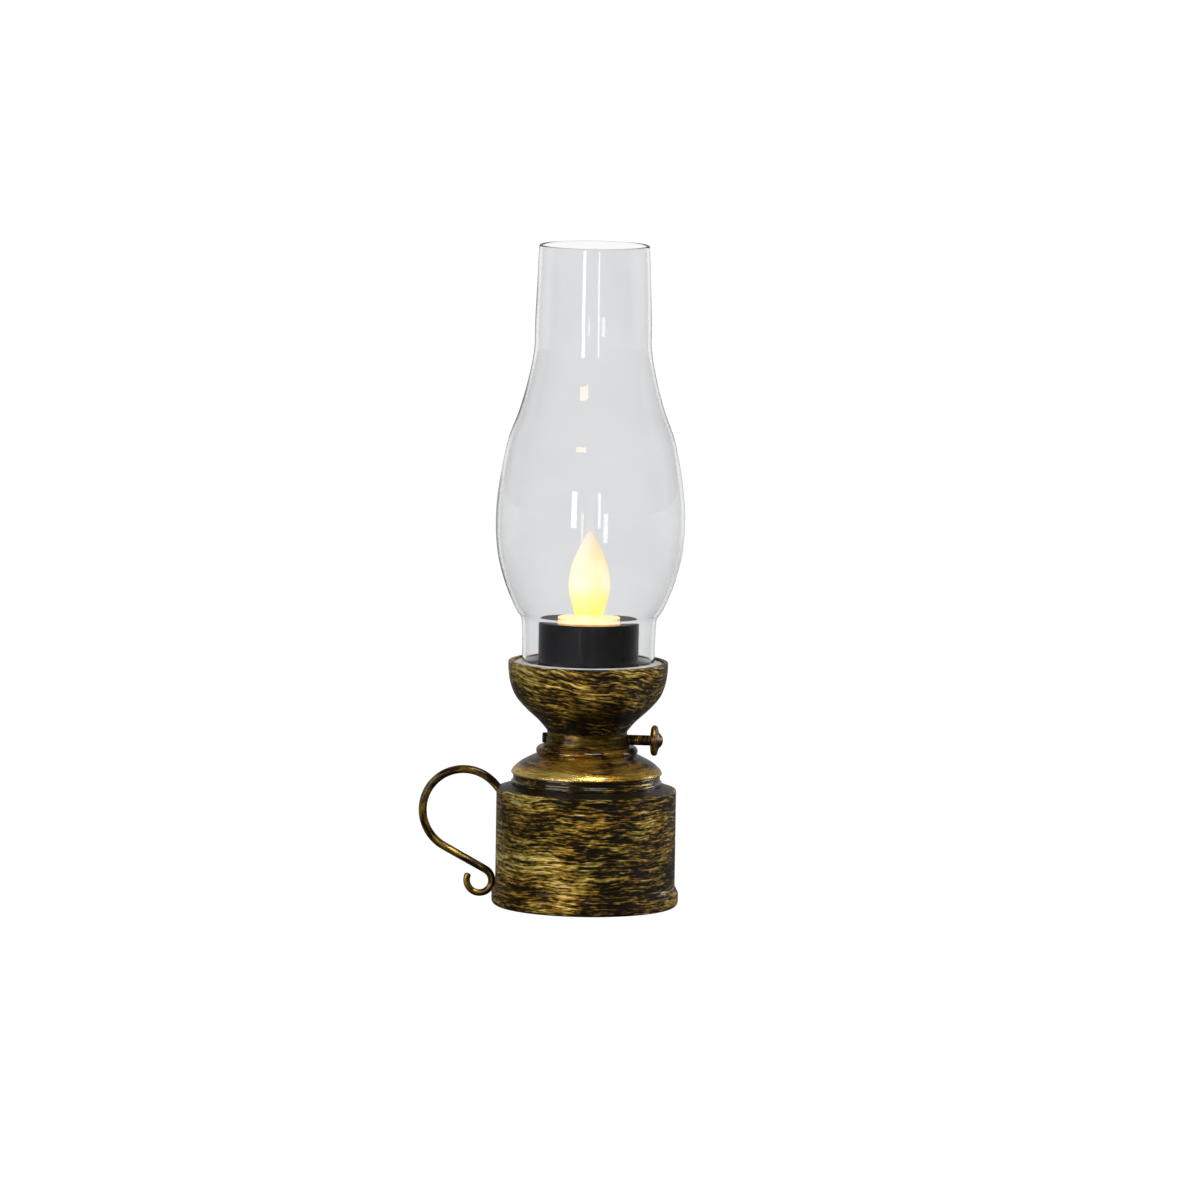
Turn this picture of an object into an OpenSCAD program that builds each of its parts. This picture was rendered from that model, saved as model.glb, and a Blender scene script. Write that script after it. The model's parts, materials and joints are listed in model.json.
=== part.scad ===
// Battery lamp in the shape of a small oil lamp: a drum-shaped font with a finger handle,
// a shoulder and burner neck, a gallery cup, a clear chimney, and a coin-cell candle in the cup.
// Millimetres, +Z up. The origin is the centre of the face it stands on, +X points to the wick knob.

/* [Font] */
// Outer radius of the font drum
font_r = 25.1; // [24.6:0.1:25.4]
// Largest radius of the foot
foot_r = 26.1; // [25.6:0.1:26.6]
// Height of the foot's flare
foot_h = 5.8; // [5:0.1:7]
// Height of the drum's top edge
drum_h = 32.9; // [32.5:0.1:33.3]
// Height of the deck where the collar stands
deck_h = 34; // [33.6:0.1:34.2]
// Wall thickness of the body mouldings
wall = 1.5; // [1.2:0.1:1.6]

/* [Collar and shoulder] */
// Height of the collar above the deck
collar_h = 3; // [2.8:0.1:3.2]
// Radius of the shoulder's lip and of the collar's flange
lip_r = 21.1; // [20.8:0.1:21.4]
// Height of the shoulder from its lip to the bead's top
shoulder_h = 7.8; // [7.6:0.1:8]
// Radius of the bead on the shoulder
bead_r = 14.2; // [14:0.1:14.4]

/* [Burner] */
// Height of the neck
neck_h = 4.4; // [4.2:0.1:4.6]
// Radius at the neck's foot
neck_r = 12; // [11.8:0.1:12.2]
// Height of the gallery cup
cup_h = 19.5; // [19.3:0.1:19.7]
// Radius of the cup at its rim
cup_r = 22.3; // [22.1:0.1:22.6]

/* [Chimney] */
// Height of the lamp to the chimney's top
lamp_h = 185; // [180:0.5:190]
// Outer radius of the chimney's straight fitter
fitter_r = 18.5; // [18.2:0.1:18.7]
// Outer radius of the bulb at its widest
bulb_r = 26.4; // [25.5:0.1:27]
// Outer radius at the top
top_r = 15.4; // [15:0.1:16]
// Wall thickness of the chimney
glass_t = 0.9; // [0.8:0.1:1]

/* [Candle] */
// Outer radius of the candle
candle_r = 14; // [13.9:0.1:14.1]
// Height of the candle without its flame
candle_h = 18; // [17.8:0.1:18.2]
// Radius of the flame at its widest
flame_r = 5.85; // [5.6:0.05:6.1]
// Height of the flame above the candle
flame_h = 25.2; // [24:0.2:26]
// Radius of the coin cell
cell_r = 10; // [9.9:0.05:10]
// Thickness of the coin cell
cell_h = 3.2; // [3:0.1:3.2]

/* [Wick knob] */
// Radius of the wick shaft
shaft_r = 1.45; // [1.3:0.05:1.5]
// Radius of the wick knob
knob_r = 4.3; // [4:0.1:4.6]
// Distance of the knob's back face from the lamp's axis
knob_x = 18; // [17.5:0.1:18.5]

/* [Handle] */
// Radius of the handle's loop, to the middle of the rod
loop_r = 11.6; // [11.4:0.1:11.8]
// Thickness of the handle's rod, as a radius
rod_r = 1.15; // [1.05:0.01:1.18]
// Radius of the handle's curl, to the middle of the rod
curl_r = 3.55; // [3.4:0.05:3.6]
// Thickness of the rod at the curl's tip, as a radius
tip_r = 0.95; // [0.8:0.05:1]

/* [Hidden] */
$fn = 96;

body_black = [0.13, 0.11, 0.07];
body_bronze = [0.5, 0.4, 0.18];
candle_black = [0.12, 0.12, 0.13];
steel = [0.75, 0.75, 0.74];
clear_plastic = [0.85, 0.88, 0.9, 0.35];

fit = 0.05;            // radial clearance of one moulding's spigot in the next
plate_t = 1.6;         // base plate
seat_r = 23.3;         // recess that holds the base plate
deck_hole_r = 17.5;    // hole in the font's deck
collar_bore_r = 16.2;
shoulder_z = deck_h + collar_h;
bead_h = 2.5;
neck_z = shoulder_z + shoulder_h;
neck_bore_r = 9.9;
neck_top_r = 11.15;
neck_spigot_r = 10.9;
cup_spigot_r = 9.8;
cup_z = neck_z + neck_h;
rim_z = cup_z + cup_h;
floor_t = 1.5;         // cup floor
shaft_z = neck_z + 2;  // wick shaft's height

seat_z = rim_z - 2.7;       // ledge in the cup
seat_bore_r = cup_r - 1.3;  // recess in the cup's rim
socket_t = 1.2;
ledge_r = candle_r - 0.8;   // bore of the ledge that the candle stands on
glass_z = seat_z + socket_t;
glass_flange_r = seat_bore_r - 0.3;
glass_flange_t = 0.9;
pinch_z = glass_z + 13.5;

candle_z = seat_z - 4;      // underside of the candle
candle_top = candle_z + candle_h;
candle_wall = 1.2;
cell_y = -1.4;              // the cell stands off centre, to leave room for the switch
floor_z = candle_z + 1.2;   // top of the candle's base disc
base_r = candle_r - candle_wall - fit;
door_r = cell_r + 0.4;
door_lug_r = cell_r + 0.85;
lug_t = 0.5;
lug_a = 16;                 // width of a door lug in degrees
door_turn = 30;             // turn from locked to free
carrier_in_r = cell_r + 0.35;
carrier_out_r = cell_r + 1.3;
carrier_z = floor_z + 4.2;  // underside of the carrier's deck
deck_t = 1.2;
post_r = 3.9;
post_bore_r = 2.4;
post_z = candle_top - 4;    // top of the LED post
led_r = 2.5;
lead_r = 0.25;
lead_x = 1.27;
switch_y = 10.75;
switch_x = 1.1;             // switched on; as far to the other side is off

// Points on an arc about c from angle a0 to a1
function arc(c, r, a0, a1, n) =
    [for (i = [0:n]) let (a = a0 + (a1 - a0) * i / n) [c[0] + r * cos(a), c[1] + r * sin(a)]];

// A point between b and c on a smooth curve through a, b, c and d
function between(a, b, c, d, t) =
    b + (c - a) * t / 2 + (2 * a - 5 * b + 4 * c - d) * t * t / 2
    + (3 * b - a - 3 * c + d) * t * t * t / 2;

// A smooth curve through key points, with n steps between neighbours
function smooth(p, n) = concat(
    [for (i = [0:len(p) - 2], k = [0:n - 1])
        between(p[max(i - 1, 0)], p[i], p[i + 1], p[min(i + 2, len(p) - 1)], k / n)],
    [p[len(p) - 1]]);

// The curve moved inwards by t, square to itself
function inset(p, t) = [for (i = [0:len(p) - 1])
    let (d = p[min(i + 1, len(p) - 1)] - p[max(i - 1, 0)]) p[i] + [-d[1], d[0]] * t / norm(d)];

function reversed(p) = [for (i = [len(p) - 1:-1:0]) p[i]];
function above(p, z) = [for (q = p) if (q[1] > z) q];
function below(p, z) = [for (q = p) if (q[1] < z) q];

module turned(points) {
    rotate_extrude() polygon(points);
}

module ring(r_out, r_in, h) {
    difference() {
        cylinder(r = r_out, h = h);
        translate([0, 0, -1]) cylinder(r = r_in, h = h + 2);
    }
}

// A piece of a ring, w degrees wide and centred on angle a
module ring_piece(r_out, r_in, h, a, w) {
    rotate([0, 0, a - w / 2]) rotate_extrude(angle = w)
        translate([r_in, 0]) square([r_out - r_in, h]);
}

// ---- handle ----
// The rod runs from its peg in the drum round the loop, straight down and into the curl.
loop_c = [-34.35, 25.65];
curl_c = [-29.75, 6.05];
peg_a = 41.3;            // where the loop ends at the drum
loop_end_a = 241;      // where the loop runs into the straight
curl_a0 = 61;
curl_a1 = -203;
peg_len = 3;
rod_sides = 12;
loop_path = arc(loop_c, loop_r, peg_a, loop_end_a, 28);
curl_path = arc(curl_c, curl_r, curl_a0, curl_a1, 22);
loop_end = loop_path[len(loop_path) - 1];
straight_path = [for (t = [0.25:0.25:0.75]) loop_end + (curl_path[0] - loop_end) * t];
peg_end = loop_path[0] + peg_len * [sin(peg_a), -cos(peg_a)];
curl_tip = curl_path[len(curl_path) - 1] + tip_r * 0.6 * [sin(curl_a1), -cos(curl_a1)];
rod_path = concat([peg_end], loop_path, straight_path, curl_path, [curl_tip]);

// The rod keeps its thickness round the loop, then thins down to its tip
function rod_radius(i) =
    let (start = len(loop_path), steps = 12, last = len(rod_path) - 1)
    i == last ? tip_r * 0.6 : rod_r + (tip_r - rod_r) * max(0, min(1, (i - start) / steps));

// One ring of the rod's skin at point i of its path, square to the path
function rod_ring(i) =
    let (p = rod_path, r = rod_radius(i), d = p[min(i + 1, len(p) - 1)] - p[max(i - 1, 0)],
        side = [-d[1], d[0]] / norm(d))
    [for (k = [0:rod_sides - 1]) let (a = 360 * k / rod_sides)
        [p[i][0] + side[0] * r * cos(a), r * sin(a), p[i][1] + side[1] * r * cos(a)]];

module rod() {
    n = len(rod_path);
    s = rod_sides;
    walls = [for (i = [0:n - 2], k = [0:s - 1])
        [i * s + k, i * s + (k + 1) % s, (i + 1) * s + (k + 1) % s, (i + 1) * s + k]];
    ends = [[for (k = [s - 1:-1:0]) k], [for (k = [0:s - 1]) (n - 1) * s + k]];
    polyhedron(points = [for (i = [0:n - 1]) each rod_ring(i)], faces = concat(walls, ends), convexity = 4);
}

// Places its children at the handle's peg, with Z along the rod and out of the drum
module at_peg() {
    translate([loop_path[0][0], 0, loop_path[0][1]]) rotate([0, -peg_a, 0]) children();
}

// ---- font ----
module font_body() color(body_bronze) {
    edge = 1.5;
    inner_r = font_r - wall;
    outer = concat(
        arc([foot_r - edge, edge], edge, -90, 0, 6),
        smooth([[foot_r, foot_h - 1.9], [foot_r - 0.5, foot_h - 1], [font_r, foot_h]], 3),
        arc([font_r - 0.4, drum_h - 0.4], 0.4, 0, 80, 3),
        [[lip_r + 0.3, deck_h], [deck_hole_r, deck_h], [deck_hole_r, deck_h - 1.6]]);
    inner = [[lip_r, deck_h - 1.6], [inner_r - 1.2, drum_h - wall], [inner_r, drum_h - wall - 1],
        [inner_r, plate_t + 2], [seat_r - 0.8, plate_t + 1], [seat_r - 0.8, plate_t],
        [seat_r, plate_t], [seat_r, 0]];
    difference() {
        union() {
            turned(concat(outer, inner));
            intersection() {
                at_peg() translate([0, 0, -peg_len - 1]) cylinder(r = rod_r + 1.2, h = peg_len + 3);
                cylinder(r = font_r - 0.5, h = drum_h - 0.1);
            }
        }
        at_peg() translate([0, 0, -peg_len - 0.1]) cylinder(r = rod_r + 0.03, h = peg_len + 5);
    }
}

module base_plate() color(candle_black)
    difference() {
        cylinder(r = seat_r - fit, h = plate_t);
        translate([0, 0, -1]) ring(19, 15, 1.5);
    }

// ---- collar and shoulder ----
module collar_ring() color(body_black)
    turned([
        [collar_bore_r, deck_h - 1.6], [deck_hole_r - fit, deck_h - 1.6], [deck_hole_r - fit, deck_h],
        [lip_r - 0.05, deck_h], [lip_r - 0.05, deck_h + 1.1], [lip_r - 0.6, deck_h + 1.4],
        [lip_r - 0.6, shoulder_z], [19, shoulder_z], [19, shoulder_z + 1], [collar_bore_r, shoulder_z + 1]
    ]);

module shoulder_dome() color(body_bronze) {
    bead_z = neck_z - bead_h;
    slope = smooth([[lip_r, shoulder_z + 0.5], [lip_r - 0.75, shoulder_z + 1.6],
        [lip_r - 2.8, shoulder_z + 3.3], [15.1, bead_z - 0.3]], 4);
    bead = arc([bead_r - bead_h / 2, bead_z + bead_h / 2], bead_h / 2, -90, 90, 8);
    turned(concat(
        [[lip_r - 0.4, shoulder_z]], slope, [[bead_r - 0.6, bead_z]], bead,
        [[neck_spigot_r + fit, neck_z], [neck_spigot_r + fit, neck_z - 1.6], [12.6, bead_z - 0.6]],
        [[14.2, bead_z - 1.6]], reversed(above(inset(slope, wall + 0.1), shoulder_z + 1.3)),
        [[19 + fit, shoulder_z + 1.1], [19 + fit, shoulder_z]]));
}

// ---- burner ----
module burner_neck() color(body_bronze)
    difference() {
        turned([
            [neck_bore_r, neck_z - 1.6], [neck_spigot_r, neck_z - 1.6], [neck_spigot_r, neck_z],
            [neck_r, neck_z], [neck_r, neck_z + 0.6], [neck_top_r, cup_z],
            [cup_spigot_r, cup_z], [cup_spigot_r, cup_z + floor_t], [8.6, cup_z + floor_t], [8.6, cup_z],
            [neck_bore_r, cup_z - 1.1]
        ]);
        translate([0, 0, shaft_z]) rotate([0, 90, 0])
            cylinder(r = shaft_r + fit, h = 40, center = true);
    }

module gallery_cup() color(body_bronze) {
    bowl = smooth([[neck_top_r + 0.05, cup_z], [13.7, cup_z + 2.9], [17.4, cup_z + 6.3],
        [20.2, cup_z + 9.6], [21.6, cup_z + 13], [cup_r - 0.1, cup_z + 16.4], [cup_r, rim_z - 0.6]], 4);
    turned(concat(
        bowl, arc([cup_r - 0.5, rim_z - 0.5], 0.5, 10, 90, 4),
        [[seat_bore_r + 0.2, rim_z], [seat_bore_r, rim_z - 0.2], [seat_bore_r, seat_z]],
        [[seat_bore_r - 1.2, seat_z], [seat_bore_r - 1.2, seat_z - 0.8]],
        reversed(below(above(inset(bowl, wall), cup_z + floor_t), seat_z - 1.6)),
        [[cup_spigot_r + fit, cup_z + floor_t], [cup_spigot_r + fit, cup_z]]));
}

module candle_socket() color(body_black)
    turned([
        [ledge_r, candle_z - 1.2], [candle_r + 1.2, candle_z - 1.2], [candle_r + 1.2, seat_z],
        [seat_bore_r - fit, seat_z], [seat_bore_r - fit, glass_z], [candle_r + 0.2, glass_z],
        [candle_r + 0.2, candle_z], [ledge_r, candle_z]
    ]);

module finger_handle() color(body_black) rod();

// ---- wick knob ----
module along_x(x, z) {
    translate([x, 0, z]) rotate([0, 90, 0]) children();
}

module wick_shaft() color(body_black)
    along_x(-12.5, shaft_z) cylinder(r = shaft_r, h = 12.5 + knob_x + 1.6);

module wick_knob() color(body_black) {
    t = 2.4;
    edge = 0.9;
    face = concat(
        arc([knob_r - edge, edge], edge, -60, 60, 6),
        [[knob_r - 1.3, t - 0.5], [2.3, t - 0.2]],
        arc([0, t - 1.7], 2.6, 40, 90, 5));
    along_x(knob_x, shaft_z) turned(concat(
        [[shaft_r + 0.01, 0], [knob_r - edge - 1, 0]], face,
        [[0, 1.6], [shaft_r + 0.01, 1.6]]));
}

module shaft_clips() color(steel)
    for (side = [-1, 1])
        along_x(side * 8.3 - 0.5, shaft_z) ring(2, shaft_r + 0.01, 1);

// ---- chimney ----
// Height at a share of the way from the pinch to the top
function up(share) = pinch_z + share * (lamp_h - pinch_z);

module chimney() color(clear_plastic) {
    flange_top = glass_z + glass_flange_t;
    fitter = smooth([[fitter_r, flange_top + 0.9], [fitter_r, glass_z + 6], [fitter_r + 0.3, pinch_z]], 3);
    bulb = smooth([
        [fitter_r + 0.45, up(0.003)], [bulb_r - 5.6, up(0.029)], [bulb_r - 2.7, up(0.097)],
        [bulb_r - 0.6, up(0.178)], [bulb_r, up(0.273)], [bulb_r - 0.9, up(0.366)],
        [bulb_r - 3.1, up(0.475)], [bulb_r - 6.1, up(0.556)], [top_r + 2.6, up(0.636)],
        [top_r + 1, up(0.719)], [top_r + 0.8, up(0.805)], [top_r, lamp_h]], 5);
    outer = concat(fitter, bulb);
    turned(concat(
        [[fitter_r - glass_t, glass_z], [glass_flange_r, glass_z], [glass_flange_r, flange_top]],
        arc([fitter_r + 0.9, flange_top + 0.9], 0.9, 270, 180, 4),
        outer, reversed(inset(outer, glass_t))));
}

// ---- candle ----
module candle_housing() color(candle_black) {
    edge = 0.7;
    inner_r = candle_r - candle_wall;
    turned(concat(
        [[inner_r, candle_z], [candle_r, candle_z]],
        arc([candle_r - edge, candle_top - edge], edge, 0, 90, 5),
        [[8.9, candle_top], [8.9, candle_top - candle_wall], [inner_r, candle_top - candle_wall]]));
}

module candle_base() color(candle_black)
    difference() {
        translate([0, 0, candle_z]) cylinder(r = base_r, h = floor_z - candle_z);
        translate([0, cell_y, candle_z]) {
            translate([0, 0, -1]) cylinder(r = door_r + 0.15, h = 5);
            translate([0, 0, 0.6]) cylinder(r = door_lug_r + 0.15, h = 5);
            for (a = [30:120:270])
                translate([0, 0, -1]) ring_piece(door_lug_r + 0.1, door_r, 3, a + door_turn, lug_a + 3);
        }
        translate([-2.6, switch_y - 0.8, candle_z - 1]) cube([5.2, 1.6, 5]);
    }

module battery_carrier() color(candle_black)
    difference() {
        union() {
            translate([0, cell_y, floor_z]) ring(carrier_out_r, carrier_in_r, carrier_z - floor_z);
            translate([0, cell_y, carrier_z]) cylinder(r = carrier_out_r, h = deck_t);
            translate([0, 0, carrier_z]) cylinder(r = post_r, h = post_z - carrier_z);
        }
        translate([0, 0, carrier_z + deck_t]) cylinder(r = post_bore_r, h = 20);
        translate([-lead_x, 0, carrier_z - 1]) cylinder(r = lead_r + 0.1, h = 4);
        translate([lead_x - 0.5, 0, carrier_z + deck_t]) cube([1, 12, 0.8]);
    }

module battery_door() color(candle_black)
    translate([0, cell_y, candle_z])
        difference() {
            union() {
                cylinder(r = door_r, h = 1.15);
                for (a = [30:120:270])
                    translate([0, 0, 0.65]) ring_piece(door_lug_r, door_r - 1, lug_t, a, lug_a);
            }
            translate([-6, -0.8, -1]) cube([12, 1.6, 1.6]);
        }

module flame_diffuser() color([1, 0.85, 0.4]) {
    disc_top = candle_top + 0.8;
    flame = smooth([
        [3.8, candle_top + 1.5], [flame_r - 1.2, candle_top + 4], [flame_r, candle_top + 9.5],
        [flame_r - 1, candle_top + 16], [flame_r - 3.9, candle_top + 22.6],
        [0, candle_top + flame_h]], 6);
    difference() {
        turned(concat(
            [[0, candle_top - 2], [9.8, candle_top - 2], [9.8, candle_top - candle_wall]],
            [[8.75, candle_top - candle_wall]], arc([8.35, disc_top - 0.4], 0.4, 0, 90, 3),
            arc([4.5, candle_top + 1.5], 0.7, 270, 180, 3), flame));
        translate([0, 0, candle_top - 3]) cylinder(r = led_r + 0.2, h = 6.8);
        translate([0, 0, candle_top + 3.8]) sphere(r = led_r + 0.2);
    }
}

module led() color([1, 0.7, 0.3]) {
    translate([0, 0, post_z]) cylinder(r = 2.9, h = 1);
    translate([0, 0, post_z + 0.5]) cylinder(r = led_r, h = 7.2);
    translate([0, 0, candle_top + 3.7]) sphere(r = led_r);
}

module led_leads() color(steel) {
    bend_z = carrier_z + deck_t + 0.4;
    wiper_top = floor_z + 1.85;
    translate([-lead_x, 0, carrier_z]) cylinder(r = lead_r, h = post_z - carrier_z);
    translate([lead_x, 0, 0]) {
        translate([0, 0, bend_z]) cylinder(r = lead_r, h = post_z - bend_z);
        translate([0, 0, bend_z]) sphere(r = lead_r);
        translate([0, 0, bend_z]) rotate([-90, 0, 0]) cylinder(r = lead_r, h = 11);
        translate([0, 11, bend_z]) sphere(r = lead_r);
        translate([0, 11, wiper_top]) cylinder(r = lead_r, h = bend_z - wiper_top);
    }
}

module coin_cell() color(steel)
    translate([0, cell_y, floor_z]) {
        cylinder(r = cell_r, h = cell_h - 0.4);
        cylinder(r = cell_r - 1.3, h = cell_h);
    }

module contact_positive() color(steel)
    translate([0, cell_y, floor_z + 0.4])
        ring_piece(cell_r + 0.32, cell_r + 0.02, 3.6, 90, 40);

module contact_negative() color(steel) {
    cell_top = floor_z + cell_h;
    translate([-7, -1.5, carrier_z - 0.3]) cube([7.5, 3, 0.3]);
    translate([-3, 0, cell_top]) cylinder(r = 1, h = carrier_z - 0.2 - cell_top);
}

module switch_slider() color(body_black)
    translate([switch_x, switch_y, 0]) {
        translate([-1.3, -0.65, candle_z - 0.7]) cube([2.6, 1.3, floor_z - candle_z + 0.9]);
        translate([-3.8, -0.6, floor_z + 0.1]) cube([7.6, 1.4, 1.1]);
    }

module switch_wiper() color(steel)
    translate([switch_x, switch_y, floor_z + 1.2]) {
        translate([-1.8, -0.5, 0]) cube([3.6, 1.2, 0.25]);
        translate([0.17, 0.25, 0]) cylinder(r = 0.4, h = 0.55);
    }

font_body();
base_plate();
collar_ring();
shoulder_dome();
burner_neck();
gallery_cup();
candle_socket();
finger_handle();
wick_shaft();
wick_knob();
shaft_clips();
chimney();
candle_housing();
candle_base();
battery_carrier();
flame_diffuser();
led();
led_leads();
coin_cell();
contact_positive();
contact_negative();
switch_slider();
switch_wiper();
battery_door();
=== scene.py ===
import json
import math

import bmesh
import bpy
import numpy as np
from mathutils import Matrix, Vector

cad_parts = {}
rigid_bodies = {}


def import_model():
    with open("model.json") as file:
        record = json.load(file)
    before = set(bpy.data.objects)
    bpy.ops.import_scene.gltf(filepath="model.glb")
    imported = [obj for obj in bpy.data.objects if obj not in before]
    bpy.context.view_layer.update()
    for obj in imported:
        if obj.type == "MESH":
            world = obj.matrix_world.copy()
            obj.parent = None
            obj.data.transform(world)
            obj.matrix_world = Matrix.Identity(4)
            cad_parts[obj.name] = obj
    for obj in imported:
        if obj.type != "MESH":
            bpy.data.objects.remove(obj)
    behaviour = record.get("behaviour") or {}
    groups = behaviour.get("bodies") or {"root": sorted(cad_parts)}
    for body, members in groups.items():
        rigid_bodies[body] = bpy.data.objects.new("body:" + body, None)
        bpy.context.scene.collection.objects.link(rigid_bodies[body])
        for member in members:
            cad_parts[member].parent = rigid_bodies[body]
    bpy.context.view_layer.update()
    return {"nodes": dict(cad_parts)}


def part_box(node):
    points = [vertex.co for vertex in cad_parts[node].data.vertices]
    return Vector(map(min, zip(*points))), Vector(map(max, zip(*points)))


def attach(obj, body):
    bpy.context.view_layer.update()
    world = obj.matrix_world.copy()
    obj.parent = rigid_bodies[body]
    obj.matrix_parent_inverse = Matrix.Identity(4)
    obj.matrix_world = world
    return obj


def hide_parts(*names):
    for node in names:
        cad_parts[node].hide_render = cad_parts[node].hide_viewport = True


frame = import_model()
mm = 0.001
weld = 2e-6  # corners closer than this are joined, in metres


# an outline is a list of points, each a radius and a height in millimetres
def arcPoints(r, z, radius, start, end, steps):
    angles = np.radians(np.linspace(start, end, steps + 1))
    return [(r + radius * math.cos(a), z + radius * math.sin(a)) for a in angles]


def flowing(points, steps):
    # a smooth curve through the key points, with so many steps from each to the next
    p = [np.array(q, float) for q in points]
    out = []
    for i in range(len(p) - 1):
        a, b, c, d = p[max(i - 1, 0)], p[i], p[i + 1], p[min(i + 2, len(p) - 1)]
        for k in range(steps):
            t = k / steps
            out.append(tuple(b + (c - a) * t / 2 + (2 * a - 5 * b + 4 * c - d) * t * t / 2
                             + (3 * b - a - 3 * c + d) * t ** 3 / 2))
    return out + [tuple(p[-1])]


def insetBy(points, depth):
    # the same curve moved inwards, square to itself
    p = np.array(points, float)
    run = np.gradient(p, axis=0)
    run /= np.linalg.norm(run, axis=1)[:, None]
    return [tuple(q) for q in p + depth * np.stack([-run[:, 1], run[:, 0]], axis=1)]


def raised(points, height):
    return [(r, height + z) for r, z in points]


def backwards(points):
    return list(points)[::-1]


def supported(points, closed, gap=0.25):
    # extra points near both ends of long flats keep the shading flat there
    p = [np.array(q, float) for q in points]
    out = []
    for i in range(len(p) if closed else len(p) - 1):
        a, b = p[i], p[(i + 1) % len(p)]
        length = np.linalg.norm(b - a)
        out.append(a)
        if length > 4 * gap:
            out += [a + (b - a) * gap / length, b - (b - a) * gap / length]
    return out if closed else out + [p[-1]]


def levels(node):
    # the lowest and highest level of a CAD part, in millimetres
    low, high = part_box(node)
    return low[2] / mm, high[2] / mm


def widest(node):
    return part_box(node)[1][0] / mm


def addNode(tree, kind, values=None, **props):
    made = tree.nodes.new(kind)
    for key, value in props.items():
        setattr(made, key, value)
    for key, value in (values or {}).items():
        if isinstance(value, bpy.types.NodeSocket):
            tree.links.new(value, made.inputs[key])
        else:
            made.inputs[key].default_value = value
    return made


def newTree(name, inputs):
    tree = bpy.data.node_groups.new(name, "GeometryNodeTree")
    tree.interface.new_socket("Geometry", in_out="INPUT", socket_type="NodeSocketGeometry")
    ids = {}
    for label, kind in inputs.items():
        made = tree.interface.new_socket(label, in_out="INPUT", socket_type="NodeSocket" + kind)
        ids[label] = made.identifier
    tree.interface.new_socket("Geometry", in_out="OUTPUT", socket_type="NodeSocketGeometry")
    return tree, ids, addNode(tree, "NodeGroupInput").outputs


def closeTree(tree, skin, finish):
    closed = addNode(tree, "GeometryNodeMergeByDistance", {"Geometry": skin, "Distance": weld})
    smooth = addNode(tree, "GeometryNodeSetShadeSmooth", {"Geometry": closed.outputs[0]})
    real = addNode(tree, "GeometryNodeRealizeInstances", {"Geometry": smooth.outputs[0]})
    painted = addNode(tree, "GeometryNodeSetMaterial", {"Geometry": real.outputs[0], "Material": finish})
    addNode(tree, "NodeGroupOutput", {"Geometry": painted.outputs[0]})


def turnedTree():
    # an outline carried round an axis, moved in first by the radius of the circle that carries it
    reach = 0.01
    tree, ids, side = newTree("turned shape", {"Segments": "Int", "Finish": "Material"})
    outline = addNode(tree, "GeometryNodeMeshToCurve", {"Mesh": side["Geometry"]})
    moved = addNode(tree, "GeometryNodeTransform",
                    {"Geometry": outline.outputs[0], "Translation": (-reach, 0, 0), "Scale": (1, -1, 1)})
    circle = addNode(tree, "GeometryNodeCurvePrimitiveCircle", {"Resolution": side["Segments"], "Radius": reach})
    upright = addNode(tree, "GeometryNodeSetCurveNormal", {"Curve": circle.outputs[0]}, mode="Z_UP")
    skin = addNode(tree, "GeometryNodeCurveToMesh",
                   {"Curve": upright.outputs[0], "Profile Curve": moved.outputs[0]})
    closeTree(tree, skin.outputs[0], side["Finish"])
    return tree, ids


def sweptTree():
    # a round rod carried along a path, as thick as the path's own "thick" says
    tree, ids, side = newTree("swept rod", {"Sides": "Int", "Finish": "Material"})
    path = addNode(tree, "GeometryNodeMeshToCurve", {"Mesh": side["Geometry"]})
    circle = addNode(tree, "GeometryNodeCurvePrimitiveCircle", {"Resolution": side["Sides"], "Radius": 1.0})
    thick = addNode(tree, "GeometryNodeInputNamedAttribute", {"Name": "thick"}, data_type="FLOAT")
    skin = addNode(tree, "GeometryNodeCurveToMesh",
                   {"Curve": path.outputs[0], "Profile Curve": circle.outputs[0],
                    "Scale": thick.outputs["Attribute"], "Fill Caps": True})
    closeTree(tree, skin.outputs[0], side["Finish"])
    return tree, ids


def lineObject(points, closed):
    # a bare line of edges for a tree to work on, with the length along it
    mesh = bpy.data.meshes.new("line")
    p = np.array(points, float)
    count = len(p)
    edges = [(i, i + 1) for i in range(count - 1)] + ([(count - 1, 0)] if closed else [])
    mesh.from_pydata([tuple(q) for q in p], edges, [])
    step = np.linalg.norm(np.diff(p, axis=0), axis=1)
    along = mesh.attributes.new("along", "FLOAT", "POINT")
    along.data.foreach_set("value", np.concatenate([[0], np.cumsum(step)]))
    line = bpy.data.objects.new("line", mesh)
    bpy.context.scene.collection.objects.link(line)
    return line


def settle(line, name, tree, settings):
    # runs the tree once and keeps the result as a plain mesh
    made, ids = tree
    work = line.modifiers.new("make", "NODES")
    work.node_group = made
    for label, value in settings.items():
        work[ids[label]] = value
    mesh = bpy.data.meshes.new_from_object(line.evaluated_get(bpy.context.evaluated_depsgraph_get()))
    bpy.data.objects.remove(line)
    mesh.name = name
    shape = bmesh.new()
    shape.from_mesh(mesh)
    bmesh.ops.recalc_face_normals(shape, faces=shape.faces)
    shape.to_mesh(mesh)
    shape.free()
    piece = bpy.data.objects.new(name, mesh)
    bpy.context.scene.collection.objects.link(piece)
    return piece


def corners(mesh):
    co = np.empty(len(mesh.vertices) * 3)
    mesh.vertices.foreach_get("co", co)
    return co.reshape(-1, 3)


def keepPlace(mesh, place):
    # the place on the surface that the brushed finishes follow
    kept = mesh.attributes.new("strokePlace", "FLOAT_VECTOR", "POINT")
    kept.data.foreach_set("vector", np.asarray(place, float).ravel())


def standsFor(piece, body, node):
    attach(piece, body)
    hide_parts(node)


turnTree = turnedTree()
rodTree = sweptTree()


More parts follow.
